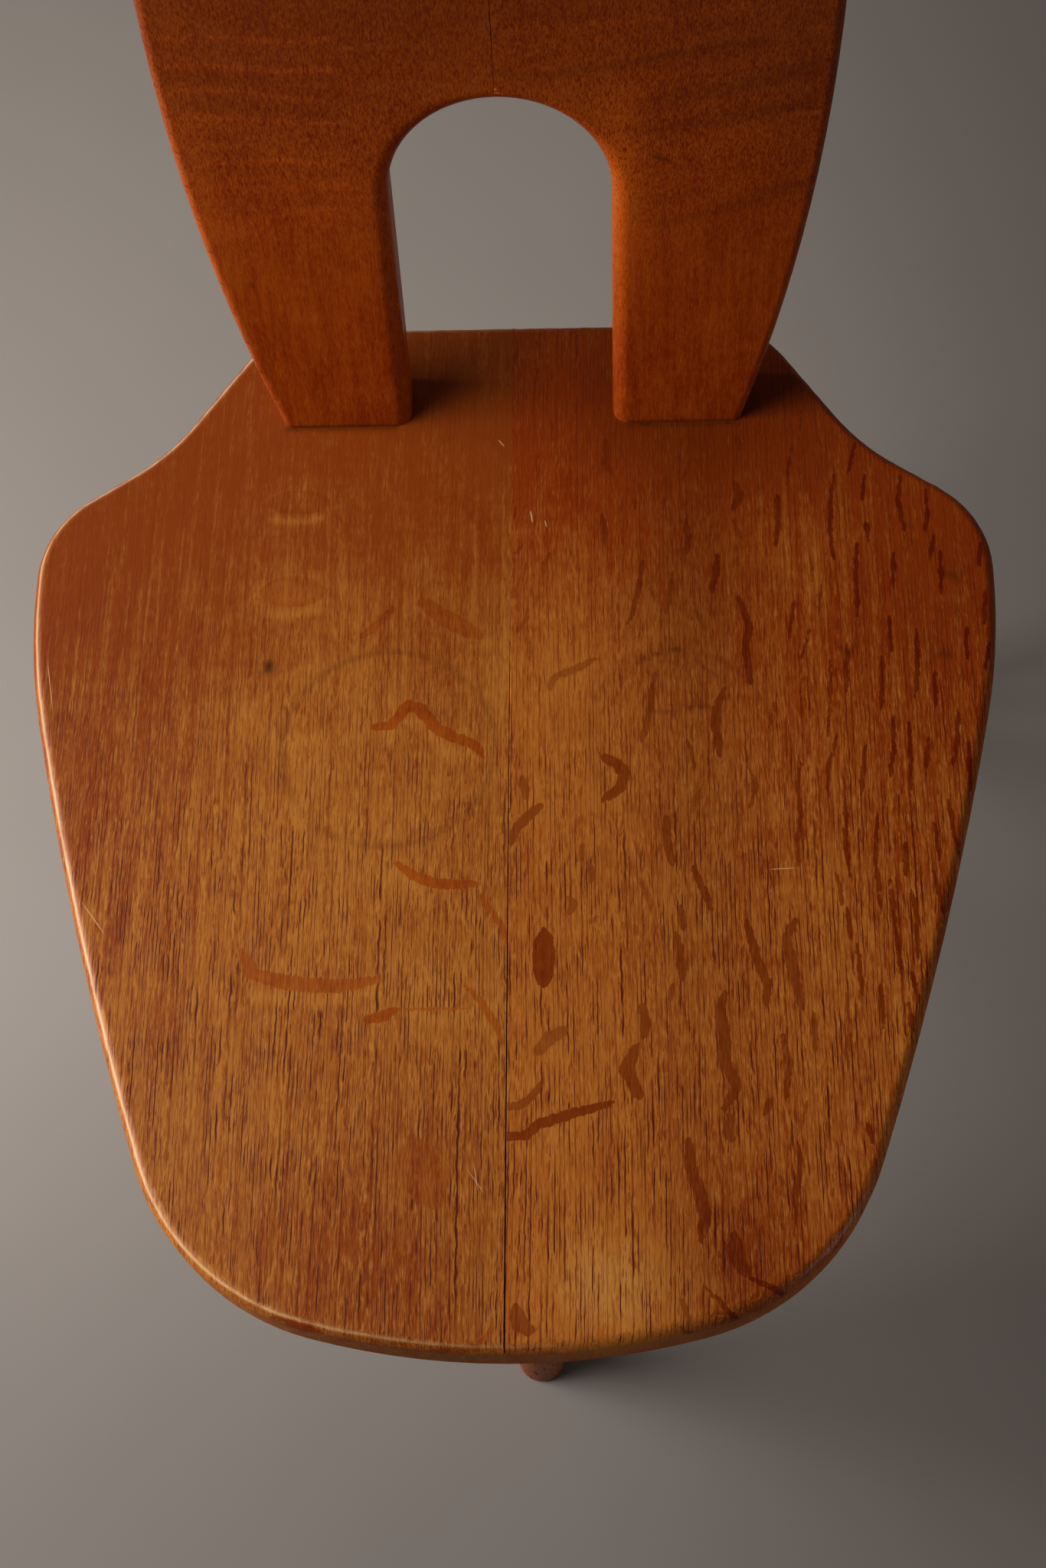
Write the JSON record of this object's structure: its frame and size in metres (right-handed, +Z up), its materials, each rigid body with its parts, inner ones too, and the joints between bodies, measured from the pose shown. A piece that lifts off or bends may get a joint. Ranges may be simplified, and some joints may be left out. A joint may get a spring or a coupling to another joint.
{
  "type": "oak board chair",
  "caption": "Oak board chair to sit on: shield-shaped plank seat on dovetailed battens, splayed turned legs, and a leaning back with an arched gap for the hand.",
  "frame": {"origin": "on the floor, under the middle of the chair's width and depth", "axes": "+Z up, +Y to the back of the chair, +X to the right as seen from the front"},
  "size_m": [0.4, 0.4912, 0.7754],
  "materials": {
    "oak_seat": "aged satin oil and wax, golden brown, with darker ray flecks",
    "oak_back": "aged satin oil and wax, red brown",
    "oak_battens": "planed oak, lightly oiled",
    "oak_legs": "turned oak, aged satin oil and wax",
    "oak_wedges": "split oak, plain",
    "dowels": "plain beech"
  },
  "bodies": {
    "root": {"seat_board_left": "oak_seat", "seat_board_right": "oak_seat", "back_board_left": "oak_back", "back_board_right": "oak_back", "front_batten": "oak_battens", "rear_batten": "oak_battens", "front_leg": "oak_legs", "rear_leg_left": "oak_legs", "rear_leg_right": "oak_legs", "front_leg_wedge": "oak_wedges", "rear_leg_wedge_left": "oak_wedges", "rear_leg_wedge_right": "oak_wedges", "back_key_left": "oak_wedges", "back_key_right": "oak_wedges", "seat_dowel_front": "dowels", "seat_dowel_middle": "dowels", "seat_dowel_rear": "dowels", "back_dowel_lower": "dowels", "back_dowel_upper": "dowels"}
  },
  "joints": []
}
